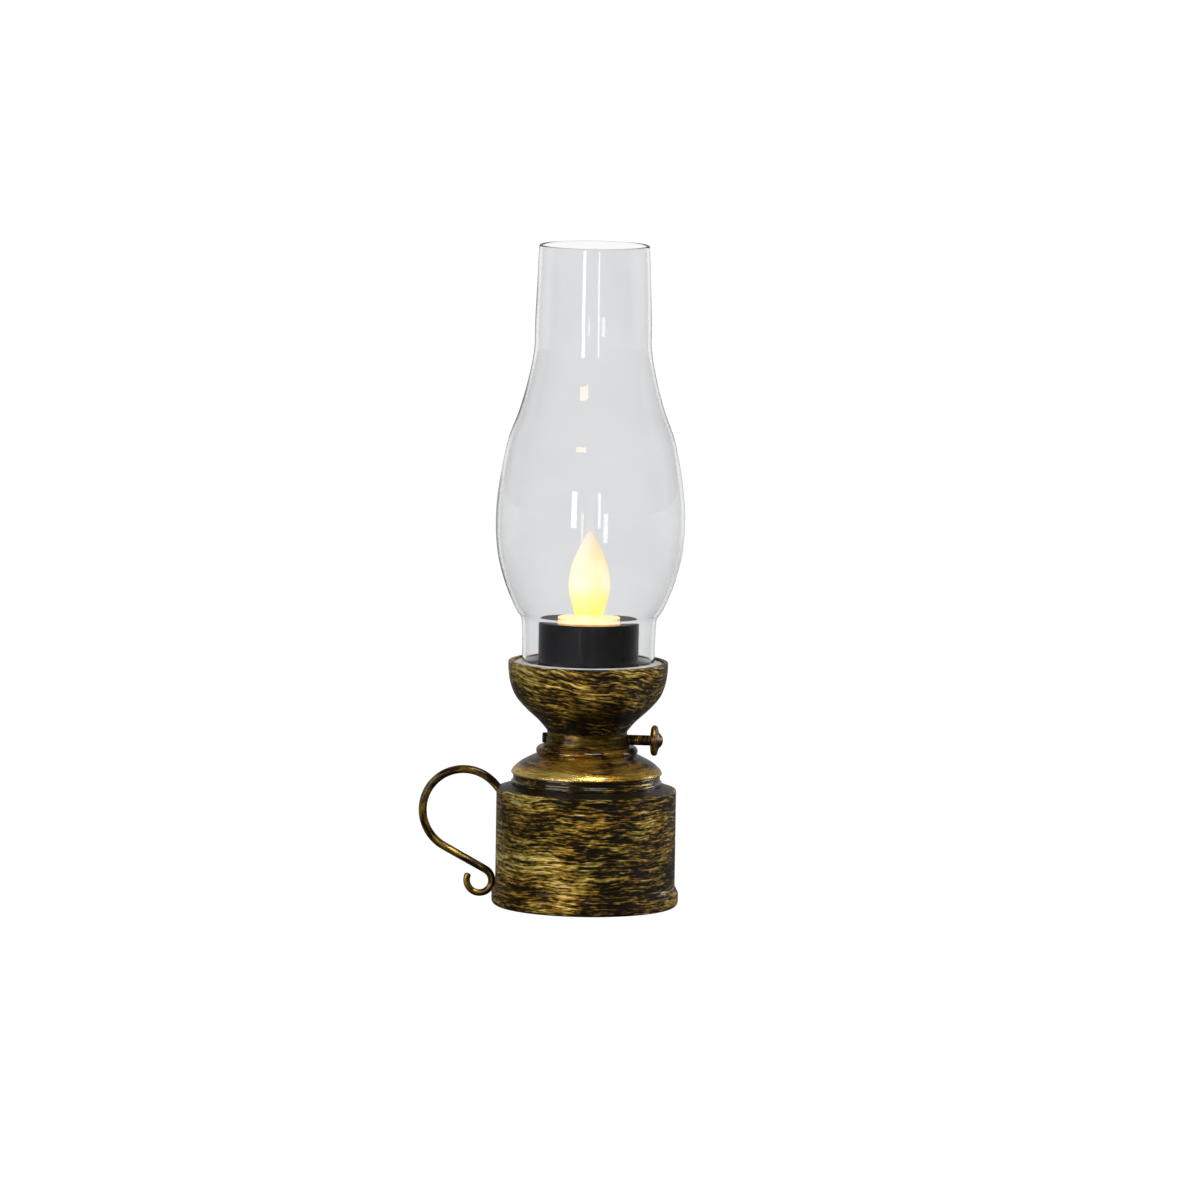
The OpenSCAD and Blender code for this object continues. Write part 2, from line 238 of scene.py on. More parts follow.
def turned(name, outline, finish, body, node, segments=160, turn=None, closed=True):
    line = supported(outline, closed)
    piece = settle(lineObject([(r * mm, z * mm, 0) for r, z in line], closed), name, turnTree,
                   {"Segments": segments, "Finish": finish})
    co = corners(piece.data)
    along = np.empty(len(co))
    piece.data.attributes["along"].data.foreach_get("value", along)
    radius = np.maximum(np.hypot(co[:, 0], co[:, 1]), 1e-7)
    wide = max(r for r, z in line) * mm
    keepPlace(piece.data, np.stack([co[:, 0] / radius * wide, co[:, 1] / radius * wide, along], axis=1))
    if turn is not None:
        piece.data.transform(turn)
    standsFor(piece, body, node)
    return piece


def newFinish(name, **values):
    finish = bpy.data.materials.new(name)
    finish.use_nodes = True
    tree = finish.node_tree
    tree.nodes.clear()
    skin = addNode(tree, "ShaderNodeBsdfPrincipled")
    for key, value in values.items():
        skin.inputs[key.replace("_", " ")].default_value = value
    addNode(tree, "ShaderNodeOutputMaterial", {"Surface": skin.outputs[0]})
    return finish, tree, skin


def objectPlace(tree):
    return addNode(tree, "ShaderNodeTexCoord").outputs["Object"]


def noiseOf(tree, vector, scale, detail=2.0, roughness=0.5, stretch=None, shift=(0, 0, 0)):
    placed = addNode(tree, "ShaderNodeMapping",
                     {"Vector": vector, "Scale": stretch or (1, 1, 1), "Location": shift})
    made = addNode(tree, "ShaderNodeTexNoise", {"Vector": placed.outputs[0], "Scale": scale, "Detail": detail,
                                               "Roughness": roughness})
    return made.outputs["Fac"]


def calc(tree, operation, a, b=0.0, c=0.0, clamp=False):
    made = addNode(tree, "ShaderNodeMath", operation=operation, use_clamp=clamp)
    for i, value in enumerate((a, b, c)):
        if isinstance(value, bpy.types.NodeSocket):
            tree.links.new(value, made.inputs[i])
        else:
            made.inputs[i].default_value = value
    return made.outputs[0]


def mapped(tree, value, start, end, low=0.0, high=1.0):
    # low at start, high at end, and even between them
    made = addNode(tree, "ShaderNodeMapRange",
                   {"Value": value, "From Min": start, "From Max": end, "To Min": low, "To Max": high})
    return made.outputs[0]


def ramp(tree, value, stops):
    made = addNode(tree, "ShaderNodeValToRGB", {"Fac": value})
    marks = made.color_ramp.elements
    while len(marks) < len(stops):
        marks.new(0.5)
    for mark, (at, colour) in zip(marks, stops):
        mark.position = at
        mark.color = (*colour, 1)
    return made.outputs["Color"]


def multiplied(tree, colour, tint):
    made = addNode(tree, "ShaderNodeMix", data_type="RGBA", blend_type="MULTIPLY")
    tree.links.new(colour, made.inputs[6])  # 6 and 7 are the two colours, and 2 is their result
    tree.links.new(tint, made.inputs[7])
    made.inputs[0].default_value = 1.0
    return made.outputs[2]


def relief(tree, skin, height, strength, depth):
    made = addNode(tree, "ShaderNodeBump", {"Strength": strength, "Distance": depth, "Height": height})
    tree.links.new(made.outputs[0], skin.inputs["Normal"])


def grey(v):
    return (v, v, v)


def times(colour, share):
    return [c * share for c in colour]


def between(low, high):
    # noise hardly ever leaves the range from 0.3 to 0.7
    return [(0.3, low), (0.7, high)]


# paint colours from bare black to thick gold; the palest stop is bright gold that also stands in for glints on the
# strokes: a painted highlight
goldAndGlintColours = [
    (0.38, (0.006, 0.0038, 0.001)), (0.44, (0.030, 0.018, 0.003)), (0.50, (0.14, 0.083, 0.012)),
    (0.60, (0.34, 0.215, 0.034)), (0.70, (0.62, 0.43, 0.09)), (0.80, (1.0, 0.82, 0.36)),
]
# the strokes lie on each piece's own place: once round it, and along its outline
brushed = {
    "coat": 0.22, "coatRough": 0.07, "shine": 0.08,
    "broad": (85.0, 85.0, 1150.0), "broadShare": 0.42,  # marks per metre: round the piece, then along its outline
    "fine": (200.0, 200.0, 3000.0), "fineShare": 0.34,
    "dabs": (500.0, 500.0, 1700.0), "dabsShare": 0.24,
    "patch": (42.0, 42.0, 60.0), "patchPull": 1.0,  # wide areas with more paint or less
    "gain": 2.9, "cover": 0.0,  # contrast of the strokes, and how much paint there is
    "worn": (0.0, 1.0, 0.0, 0.0),  # from one place along the outline to another, so much more paint; on the dome this also paints a highlight on the lip and shade above it
    "wander": 0.0024, "wanderScale": 85.0, "tilt": 0.0, "shift": (0, 0, 0),
    "colours": goldAndGlintColours, "cast": [(0.38, (1.0, 0.88, 0.66)), (0.62, (0.95, 1.0, 0.92))], "castScale": 95.0,
    "metal": 0.75, "metalFrom": 0.44, "metalFull": 0.54,
    "roughBlack": 0.30, "roughGold": 0.36, "roughFrom": 0.35, "roughFull": 0.6,
    "relief": 0.9, "depth": 0.0009,
}


def brushedFinish(name, **changes):
    # black plastic with gold paint dragged over it by a nearly dry brush
    look = {**brushed, **changes}
    finish, tree, skin = newFinish(name, Coat_Weight=look["coat"], Coat_Roughness=look["coatRough"],
                                   Specular_IOR_Level=look["shine"])
    place = addNode(tree, "ShaderNodeAttribute", attribute_name="strokePlace").outputs["Vector"]
    wander = noiseOf(tree, place, look["wanderScale"], 1.5)
    lift = calc(tree, "MULTIPLY_ADD", wander, look["wander"], -look["wander"] / 2)
    x, y, z = addNode(tree, "ShaderNodeSeparateXYZ", {"Vector": place}).outputs
    worn = mapped(tree, z, *look["worn"])
    z = calc(tree, "ADD", z, lift)
    z = calc(tree, "MULTIPLY_ADD", x, look["tilt"], z)
    bent = addNode(tree, "ShaderNodeCombineXYZ", {"X": x, "Y": y, "Z": z}).outputs[0]
    broad = noiseOf(tree, bent, 1.0, 4.0, 0.62, look["broad"], look["shift"])
    fine = noiseOf(tree, bent, 1.0, 3.0, 0.6, look["fine"], look["shift"])
    patch = noiseOf(tree, place, 1.0, 2.0, 0.5, look["patch"], look["shift"])
    dabs = noiseOf(tree, bent, 1.0, 2.0, 0.5, look["dabs"], look["shift"])
    paint = calc(tree, "MULTIPLY_ADD", broad, look["broadShare"], calc(tree, "MULTIPLY", fine, look["fineShare"]))
    paint = calc(tree, "MULTIPLY_ADD", dabs, look["dabsShare"], paint)
    paint = calc(tree, "MULTIPLY_ADD", paint, look["gain"], 0.5 - 0.5 * look["gain"] + look["cover"])
    evened = calc(tree, "SUBTRACT", paint, look["patchPull"] / 2)
    paint = calc(tree, "MULTIPLY_ADD", patch, look["patchPull"], evened)
    paint = calc(tree, "ADD", paint, worn)
    colour = ramp(tree, paint, look["colours"])
    cast = ramp(tree, noiseOf(tree, place, look["castScale"], shift=look["shift"]), look["cast"])
    tree.links.new(multiplied(tree, colour, cast), skin.inputs["Base Color"])
    metal = ramp(tree, paint, [(look["metalFrom"], grey(0.0)), (look["metalFull"], grey(look["metal"]))])
    tree.links.new(metal, skin.inputs["Metallic"])
    rough = ramp(tree, paint, [(look["roughFrom"], grey(look["roughBlack"])),
                               (look["roughFull"], grey(look["roughGold"]))])
    tree.links.new(rough, skin.inputs["Roughness"])
    relief(tree, skin, paint, look["relief"], look["depth"])
    return finish


moulded = {"coatRough": 0.08, "clouds": 160.0, "shades": (0.75, 1.3), "roughs": (0.85, 1.2),
           "pits": 3500.0, "pitDepth": 0.00005}


def mouldedFinish(name, colour, roughness, grain, shine=0.5, coat=0.0):
    # plain moulded plastic: a slight change of shade and a fine moulded skin
    finish, tree, skin = newFinish(name, Coat_Weight=coat, Coat_Roughness=moulded["coatRough"],
                                   Specular_IOR_Level=shine)
    place = objectPlace(tree)
    cloud = noiseOf(tree, place, moulded["clouds"], 3.0)
    shades = between(*[times(colour, share) for share in moulded["shades"]])
    tree.links.new(ramp(tree, cloud, shades), skin.inputs["Base Color"])
    roughs = between(*[grey(roughness * share) for share in moulded["roughs"]])
    tree.links.new(ramp(tree, cloud, roughs), skin.inputs["Roughness"])
    relief(tree, skin, noiseOf(tree, place, moulded["pits"]), grain, moulded["pitDepth"])
    return finish


def metalFinish(name, colour, roughness, stretch):
    # drawn metal: fine lines that change its shade and its gloss
    finish, tree, skin = newFinish(name, Metallic=1.0)
    lines = noiseOf(tree, objectPlace(tree), 1.0, 3.0, 0.6, stretch)
    bright = [min(c * 1.12, 1) for c in colour]
    tree.links.new(ramp(tree, lines, between(times(colour, 0.8), bright)), skin.inputs["Base Color"])
    roughs = between(grey(roughness * 0.7), grey(roughness * 1.3))
    tree.links.new(ramp(tree, lines, roughs), skin.inputs["Roughness"])
    return finish


blackFinish = brushedFinish("gloss black with gold traces", cover=-0.17, patchPull=0.25, relief=0.2, coat=1.0,
                            shift=(2.0, 0.5, 7.0), roughBlack=0.22)
insideFinish = mouldedFinish("moulded black", (0.020, 0.019, 0.018), 0.42, 0.5)
print("finishes ready")


drum = {
    "radius": 25.1, "wall": 1.5, "top": 32.9, "topEdge": 0.4,
    "footEdge": 1.5, "footFlare": 5.8,
    "deckStep": 21.3, "deckHole": 17.5, "deckThick": 1.6,
    "plateSeat": 23.3, "plateLip": 22.5, "plate": 1.6,  # where the base plate lies
    "worn": (0.0342, 0.0352, 0.0, -0.40), "shift": (0.9, 0.3, 2.6), "segments": 192,
}
low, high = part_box("font_body")
foot, deck = high[1] / mm, high[2] / mm
side, flare = drum["radius"], drum["footFlare"]
inner = side - drum["wall"]
edge, topEdge = drum["footEdge"], drum["topEdge"]
outline = (
    arcPoints(foot - edge, edge, edge, -90, 0, 10)
    + flowing([(foot, flare - 1.9), (foot - 0.5, flare - 1), (side, flare)], 6)
    + arcPoints(side - topEdge, drum["top"] - topEdge, topEdge, 0, 80, 6)
    + [(drum["deckStep"] + 0.15, deck - 0.03), (drum["deckStep"], deck), (drum["deckHole"], deck),
       (drum["deckHole"], deck - drum["deckThick"]), (drum["deckStep"] - 0.2, deck - drum["deckThick"]),
       (inner - 1.2, drum["top"] - 1.5), (inner, drum["top"] - 2.5), (inner, 3.6), (drum["plateLip"], 2.6),
       (drum["plateLip"], drum["plate"]), (drum["plateSeat"], drum["plate"]), (drum["plateSeat"], 0)])
drumFinish = brushedFinish("drum gold brushed on black", worn=drum["worn"], shift=drum["shift"])
turned("fontDrum", outline, drumFinish, "lamp_body", "font_body", drum["segments"])

collar = {"bore": 16.2, "spigot": 17.45, "stand": 1.6, "flange": 21.05, "wall": 20.5, "top": 19, "segments": 176}
z0, z1 = levels("collar_ring")
standZ = z0 + collar["stand"]
outline = ([(collar["bore"], z0), (collar["spigot"], z0), (collar["spigot"], standZ)]
           + arcPoints(collar["flange"] - 0.15, standZ + 0.15, 0.15, -90, 0, 3)
           + arcPoints(collar["flange"] - 0.25, standZ + 0.85, 0.25, 0, 60, 4)
           + arcPoints(collar["wall"] + 0.25, standZ + 1.6, 0.25, 240, 180, 3)
           + [(collar["wall"], z1 - 1), (collar["top"], z1 - 1), (collar["top"], z1), (collar["bore"], z1)])
turned("collarRing", outline, blackFinish, "lamp_body", "collar_ring", collar["segments"])

dome = {
    "lip": 21.1, "beadOut": 14.2, "bead": 1.25, "bore": 10.95, "wall": 1.6, "seat": 19.05, "segments": 176,
    "colours": [(0.36, (0.004, 0.003, 0.001)), (0.44, (0.07, 0.036, 0.005)), (0.54, (0.28, 0.150, 0.018)),
                (0.66, (0.45, 0.275, 0.045)), (0.78, (0.75, 0.55, 0.18))],
}
z0, z1 = levels("shoulder_dome")
beadZ = z1 - 2 * dome["bead"]
lip = dome["lip"]
slope = flowing([(lip, z0 + 0.5), (lip - 0.75, z0 + 1.6), (lip - 2.8, z0 + 3.3), (15.1, beadZ - 0.3)], 10)
underside = [q for q in backwards(insetBy(slope, dome["wall"])) if q[1] > z0 + 1.3]
outline = ([(20.75, z0), (20.9, z0 + 0.08), (21.04, z0 + 0.26)] + slope
           + [(14.3, beadZ + 0.02), (13.9, beadZ + 0.25)]
           + arcPoints(dome["beadOut"] - dome["bead"], beadZ + dome["bead"], dome["bead"], -50, 90, 14)
           + [(dome["bore"], z1), (dome["bore"], z1 - 1.6), (12.6, beadZ - 0.6), (14.2, beadZ - 1.6)]
           + underside + [(dome["seat"], z0 + 1.1), (dome["seat"], z0)])
# the lip gets more gold and the slope and bead less: partly wear of the dry-brushed paint on the lip's edge, partly a
# painted highlight on the lip and painted shade on the slope above it
domeFinish = brushedFinish("shoulder gold brushed on black", gain=1.5, cover=-0.01, patchPull=0.9,
                           worn=(0.0012, 0.0044, 0.17, -0.13), relief=0.25, shift=(1.3, 5.2, 2.2), coat=0.4,
                           roughGold=0.25, colours=dome["colours"])
turned("shoulderDome", outline, domeFinish, "lamp_body", "shoulder_dome", dome["segments"])

neck = {"bore": 9.9, "spigot": 1.6, "foot": 12.0, "top": 11.15, "paintedCupShadow": 0.45, "segments": 144}
z0 = levels("burner_neck")[0] + neck["spigot"]
cupZ = levels("gallery_cup")[0]
outline = ([(neck["bore"], z0 - neck["spigot"]), (10.9, z0 - neck["spigot"]), (10.9, z0), (neck["foot"] - 0.1, z0)]
           + arcPoints(neck["foot"] - 0.2, z0 + 0.4, 0.2, 0, 80, 4)
           + flowing([(11.68, z0 + 0.68), (11.4, z0 + 1.7), (neck["top"] + 0.02, cupZ - 0.5)], 5)
           + [(neck["top"], cupZ), (9.8, cupZ), (9.8, cupZ + 1.5), (8.6, cupZ + 1.5), (8.6, cupZ),
              (neck["bore"], cupZ - 1.1)])
# the neck's gold is darkened to 0.45 of the others to paint the shadow that the cup casts on it
neckShadowedFinish = brushedFinish("neck gold brushed on black, with painted shadow", gain=1.5, cover=0.02, patchPull=0.3, relief=0.4,
                           coat=0.08, shift=(6.3, 2.2, 1.9),
                           colours=[(at, times(shade, neck["paintedCupShadow"])) for at, shade in goldAndGlintColours])
turned("burnerNeck", outline, neckShadowedFinish, "lamp_body", "burner_neck", neck["segments"])

cup = {
    "bowl": [(11.2, 0), (13.7, 2.9), (17.4, 6.3), (20.2, 9.6), (21.6, 13)],  # radius, and height above its foot
    "wall": 1.5, "lip": 0.5, "recess": 21.0, "ledge": 2.7, "ledgeWidth": 1.2, "floor": 1.5, "spigotHole": 9.85,
    "segments": 192,
}
rim, rimZ = widest("gallery_cup"), levels("gallery_cup")[1]
ledgeZ, ledgeR = rimZ - cup["ledge"], cup["recess"] - cup["ledgeWidth"]
floorZ = cupZ + cup["floor"]
bowl = flowing(raised(cup["bowl"], cupZ) + [(rim - 0.1, cupZ + 16.4), (rim, rimZ - 0.6)], 8)
inside = [p for p in insetBy(bowl, cup["wall"]) if floorZ < p[1] < ledgeZ - 1.6]
outline = (bowl + arcPoints(rim - cup["lip"], rimZ - cup["lip"], cup["lip"], 10, 90, 7)
           + arcPoints(cup["recess"] + 0.2, rimZ - 0.2, 0.2, 90, 180, 3)
           + [(cup["recess"], ledgeZ), (ledgeR, ledgeZ), (ledgeR, ledgeZ - 0.8)]
           + backwards(inside) + [(cup["spigotHole"], floorZ), (cup["spigotHole"], cupZ)])
# the bowl gets less paint towards its foot and more towards the rim
cupFinish = brushedFinish("cup gold brushed on black", cover=-0.11, worn=(0.005, 0.018, -0.07, 0.07), tilt=0.16,
                          wander=0.0034, shift=(4.3, 0.6, 1.4))
turned("galleryCup", outline, cupFinish, "lamp_body", "gallery_cup", cup["segments"])

socket = {"bore": 14.2, "floorBore": 13.2, "outside": 15.2, "thick": 1.2, "segments": 144}
z0, z1 = levels("candle_socket")
wide = widest("candle_socket")
outline = [(socket["floorBore"], z0), (socket["outside"], z0), (socket["outside"], z1 - socket["thick"]),
           (wide, z1 - socket["thick"]), (wide, z1), (14.35, z1), (socket["bore"], z1 - 0.15),
           (socket["bore"], z0 + socket["thick"]), (socket["floorBore"], z0 + socket["thick"])]
turned("candleSocket", outline, blackFinish, "lamp_body", "candle_socket", socket["segments"])

handle = {
    "loopCentre": (-34.35, 25.65), "loop": 11.6, "pegAngle": 41.3, "loopEnd": 241, "loopSteps": 90,
    "curlCentre": (-29.75, 6.05), "curl": 3.55, "curlStart": 61, "curlEnd": -203, "curlSteps": 64,
    "peg": 3.0, "rod": 1.15, "tip": 0.95, "sides": 32,
    "pegSteps": 6, "easedFrom": 8, "easings": 3,  # how often the bends are eased, from which step on
    "thinBefore": 14, "thinOver": 50,  # steps: the rod thins towards its tip
    "tipLength": 0.6, "tipLeans": (18, 36, 54, 70, 82),
}
loop = np.array(arcPoints(*handle["loopCentre"], handle["loop"], handle["pegAngle"], handle["loopEnd"],
                          handle["loopSteps"]))
curl = np.array(arcPoints(*handle["curlCentre"], handle["curl"], handle["curlStart"], handle["curlEnd"],
                          handle["curlSteps"]))
straight = [loop[-1] + (curl[0] - loop[-1]) * t for t in np.linspace(0, 1, 12)[1:-1]]
turnBack = math.radians(handle["pegAngle"])
peg = loop[0] + handle["peg"] * np.array([math.sin(turnBack), -math.cos(turnBack)])
intoDrum = [peg + (loop[0] - peg) * t for t in np.linspace(0, 1, handle["pegSteps"] + 1)[:-1]]
path = np.array(intoDrum + list(loop) + straight + list(curl))
eased = handle["easedFrom"]
for _ in range(handle["easings"]):  # where arc meets straight
    path[eased:-1] = (path[eased - 1:-2] + 2 * path[eased:-1] + path[eased + 1:]) / 4
passed = np.arange(len(path)) - len(path) + len(curl) + handle["thinBefore"]
thick = handle["rod"] + (handle["tip"] - handle["rod"]) * np.clip(passed / handle["thinOver"], 0, 1)
ahead = (path[-1] - path[-2]) / np.linalg.norm(path[-1] - path[-2])
for lean in np.radians(handle["tipLeans"]):  # the tip is rounded over
    path = np.vstack([path, curl[-1] + ahead * handle["tip"] * handle["tipLength"] * math.sin(lean)])
    thick = np.append(thick, handle["tip"] * math.cos(lean))
line = lineObject([(x * mm, 0, z * mm) for x, z in path], False)
line.data.attributes.new("thick", "FLOAT", "POINT").data.foreach_set("value", thick * mm)
handleFinish = brushedFinish("handle gold brushed on black", gain=1.8, cover=-0.05, wander=0.0,
                             broad=(70.0, 900.0, 900.0), fine=(200.0, 1800.0, 1800.0),
                             dabs=(300.0, 1200.0, 1200.0), patch=(120.0, 300.0, 300.0), patchPull=0.35,
                             relief=0.3, roughBlack=0.25)
handlePiece = settle(line, "fingerHandle", rodTree, {"Sides": handle["sides"], "Finish": handleFinish})
# its strokes run along the rod, so its place is the length along it, and how far out and across
co = corners(handlePiece.data)
flat = co[:, [0, 2]] / mm
nearest = np.array([np.argmin(((path - q) ** 2).sum(axis=1)) for q in flat])
steps = np.concatenate([[0], np.cumsum(np.linalg.norm(np.diff(path, axis=0), axis=1))])
run = np.gradient(path, axis=0)
run /= np.linalg.norm(run, axis=1)[:, None]
square = np.stack([-run[nearest, 1], run[nearest, 0]], axis=1)
outward = ((flat - path[nearest]) * square).sum(axis=1)
keepPlace(handlePiece.data, np.stack([steps[nearest] * mm, outward * mm, co[:, 1]], axis=1))
standsFor(handlePiece, "lamp_body", "finger_handle")
print("lamp body made")


# shaft and knob are turned about +Z and then laid along +X
def laidDown(node, height):
    return Matrix.Translation((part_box(node)[0][0], 0, height)) @ Matrix.Rotation(math.pi / 2, 4, "Y")


shaft = {"radius": 1.45, "edge": 0.25, "segments": 40}
low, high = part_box("wick_shaft")
shaftZ = (low[2] + high[2]) / 2
length = (high[0] - low[0]) / mm
flatEnd, edge = shaft["radius"] - shaft["edge"], shaft["edge"]
outline = ([(0, 0)] + arcPoints(flatEnd, edge, edge, -90, 0, 4)
           + arcPoints(flatEnd, length - edge, edge, 0, 90, 4) + [(0, length)])
turned("wickShaft", outline, blackFinish, "wick", "wick_shaft", shaft["segments"],
       laidDown("wick_shaft", shaftZ), closed=False)

knob = {"bore": 1.46, "boreDepth": 1.6, "edge": 0.9, "thick": 2.4, "bossRadius": 2.6, "segments": 72,
        "tint": (0.7, 0.5, 0.4)}
low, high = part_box("wick_knob")
wide = (high[2] - low[2]) / 2 / mm
front = knob["thick"]
outline = ([(0, knob["boreDepth"]), (knob["bore"], knob["boreDepth"]), (knob["bore"], 0), (wide - 1.9, 0)]
           + arcPoints(wide - knob["edge"], knob["edge"], knob["edge"], -75, 60, 14)
           + flowing([(wide - 0.9, front - 0.62), (wide - 1.3, front - 0.5), (2.55, front - 0.42),
                      (2.05, front - 0.1)], 4)[1:]
           + arcPoints(0, front - 1.7, knob["bossRadius"], 42, 90, 8))
red, green, blue = knob["tint"]
knobFinish = brushedFinish("knob bronze brushed on black", cover=-0.07, patchPull=0.3, relief=0.3, coat=0.3,
                           shift=(5.0, 2.5, 3.0),
                           colours=[(at, (r * red, g * green, b * blue)) for at, (r, g, b) in goldAndGlintColours])
turned("wickKnob", outline, knobFinish, "wick", "wick_knob", knob["segments"],
       laidDown("wick_knob", shaftZ), closed=False)
print("wick parts made")


chimney = {
    "wall": 0.9, "fitter": 18.5, "pinch": 13.5, "top": 15.4, "rimEdge": 0.45,
    # radius, and height as a share of the way from the pinch to the rim
    "widths": [(18.95, 0.003), (20.8, 0.029), (23.7, 0.097), (25.8, 0.178), (26.37, 0.273), (25.5, 0.366),
               (23.3, 0.475), (20.3, 0.556), (18.0, 0.636), (16.4, 0.719), (16.2, 0.805)],
    "flange": 0.9, "flangeRadius": 20.7, "flangeEdge": 0.15,
    "easings": 6, "easedSpan": 3, "segments": 192, "flangeSegments": 160,
    "shades": ((0.860, 0.864, 0.870), (0.886, 0.890, 0.895)),
    "frostShades": ((0.62, 0.63, 0.64), (0.86, 0.87, 0.88)),
}
clearFinish, tree, skin = newFinish("clear plastic", Transmission_Weight=1.0, IOR=1.40)
place = objectPlace(tree)
cloud = noiseOf(tree, place, 60.0)
tree.links.new(ramp(tree, cloud, between(*chimney["shades"])), skin.inputs["Base Color"])
tree.links.new(ramp(tree, cloud, between(grey(0.0), grey(0.02))), skin.inputs["Roughness"])
relief(tree, skin, noiseOf(tree, place, 1.0, 1.0, 0.5, (70.0, 70.0, 22.0)), 0.25, 0.0006)
flangeFinish, tree, skin = newFinish("frosted flange", Transmission_Weight=0.35, Roughness=0.35)
cloud = noiseOf(tree, objectPlace(tree), 260.0, 3.0)
tree.links.new(ramp(tree, cloud, between(*chimney["frostShades"])), skin.inputs["Base Color"])

z0, z1 = levels("chimney")
flangeZ, pinchZ = z0 + chimney["flange"], z0 + chimney["pinch"]
climbTo = z1 - pinchZ
tube, bore = chimney["fitter"], chimney["fitter"] - chimney["wall"]
fitter = flowing([(tube, flangeZ + 0.02), (tube, z0 + 6), (tube + 0.3, pinchZ)], 8)
bulb = flowing([(r, pinchZ + climbTo * share) for r, share in chimney["widths"]]
               + [(chimney["top"], z1 - chimney["rimEdge"])], 11)
outer = fitter + bulb
for _ in range(chimney["easings"]):  # rounds the crease where the fitter meets the bulb
    for i in range(len(fitter) - chimney["easedSpan"], len(fitter) + chimney["easedSpan"] + 1):
        outer[i] = tuple((np.array(outer[i - 1]) + 2 * np.array(outer[i]) + np.array(outer[i + 1])) / 4)
inner = insetBy(outer, chimney["wall"])
inner[0] = (bore, flangeZ + 0.02)
lipR = (outer[-1][0] + inner[-1][0]) / 2
rimTop = arcPoints(lipR, z1 - chimney["rimEdge"], chimney["rimEdge"], 12, 168, 6)
glass = turned("chimneyGlass", outer + rimTop + backwards(inner), clearFinish, "chimney", "chimney",
               chimney["segments"])
flangeR, edge = chimney["flangeRadius"], chimney["flangeEdge"]
outline = ([(bore, z0), (flangeR - edge, z0), (flangeR, z0 + edge), (flangeR, flangeZ - edge),
            (flangeR - edge, flangeZ)]
           + arcPoints(tube + 0.6, flangeZ + 0.5, 0.5, 270, 180, 5)
           + [(tube + 0.05, flangeZ + 0.6), (bore, flangeZ)])
flange = turned("chimneyFlange", outline, flangeFinish, "chimney", "chimney",
                chimney["flangeSegments"])
glass.visible_shadow = False  # clear plastic hardly darkens what stands behind it
flange.visible_shadow = False
print("chimney made")


candle = {"bore": 12.8, "footEdge": 0.25, "edge": 0.7, "mouth": 8.9, "lid": 1.2, "segments": 144}
z0, top = levels("candle_housing")
wide = widest("candle_housing")
footEdge, edge = candle["footEdge"], candle["edge"]
outline = ([(candle["bore"], z0), (wide - footEdge, z0), (wide, z0 + footEdge)]
           + arcPoints(wide - edge, top - edge, edge, 0, 90, 8)
           + [(9.05, top), (candle["mouth"], top - 0.15), (candle["mouth"], top - candle["lid"]),
              (candle["bore"], top - candle["lid"])])
candleFinish = mouldedFinish("candle gloss black", (0.012, 0.012, 0.014), 0.16, 0.15, shine=0.3, coat=0.15)
housing = turned("candleHousing", outline, candleFinish, "candle", "candle_housing",
                 candle["segments"])

flame = {
    "lip": 9.8, "disc": 8.75, "discRise": 0.8, "discEdge": 0.4, "bore": 2.7, "boreTop": 3.8, "skirt": 2,
    "tongue": [(3.8, 1.5), (4.65, 4), (5.85, 9.5), (4.85, 16), (1.95, 22.6)],  # radius, and height above the candle
    "segments": 112, "brightness": 1.15,
    # orange under the disc, yellow at the flame's foot, warm white in its middle and pale peach at its tip:
    # heights are shares of the tip's own, and the ramp is stretched from glowFrom to the tip
    "glowFrom": 0.75,
    "glow": [(0.755, (0.6, 0.04, 0.01)), (0.7645, (1.0, 0.16, 0.03)), (0.7662, (1.0, 0.60, 0.16)),
             (0.7680, (1.0, 0.94, 0.48)), (0.776, (1.0, 1.0, 0.62)), (0.786, (1.0, 0.99, 0.20)),
             (0.822, (1.0, 1.0, 0.40)), (0.862, (1.0, 1.0, 0.72)), (0.91, (1.0, 0.97, 0.66)),
             (0.955, (1.0, 0.86, 0.66)), (1.0, (1.0, 0.76, 0.66))],
    "unlit": [(0.76, (0.30, 0.10, 0.03)), (0.80, (0.30, 0.22, 0.12)), (1.0, (0.30, 0.24, 0.20))],
    "swirl": [(0.42, (1.0, 0.94, 0.74)), (0.56, (1.0, 1.0, 1.0))], "swirlStretch": (150.0, 150.0, 55.0),
}
tip = levels("flame_diffuser")[1]
flameFinish, tree, skin = newFinish("flame plastic, lit", Roughness=0.45, Emission_Strength=flame["brightness"],
                                    Sheen_Weight=0.5, Sheen_Roughness=0.35)
skin.inputs["Sheen Tint"].default_value = (1.0, 0.86, 0.9, 1)
place = objectPlace(tree)
height = addNode(tree, "ShaderNodeSeparateXYZ", {"Vector": place}).outputs["Z"]
climb = calc(tree, "MULTIPLY_ADD", noiseOf(tree, place, 260.0), 0.0008, height)
share = calc(tree, "MULTIPLY", climb, 1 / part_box("flame_diffuser")[1][2])
tree.links.new(ramp(tree, share, flame["unlit"]), skin.inputs["Base Color"])
start, span = flame["glowFrom"], 1 - flame["glowFrom"]
spread = calc(tree, "MULTIPLY_ADD", share, 1 / span, -start / span, clamp=True)
glowing = ramp(tree, spread, [((at - start) / span, colour) for at, colour in flame["glow"]])
swirl = ramp(tree, noiseOf(tree, place, 1.0, 1.0, 0.5, flame["swirlStretch"], (0.2, 0.7, 0.4)), flame["swirl"])
tree.links.new(multiplied(tree, glowing, swirl), skin.inputs["Emission Color"])

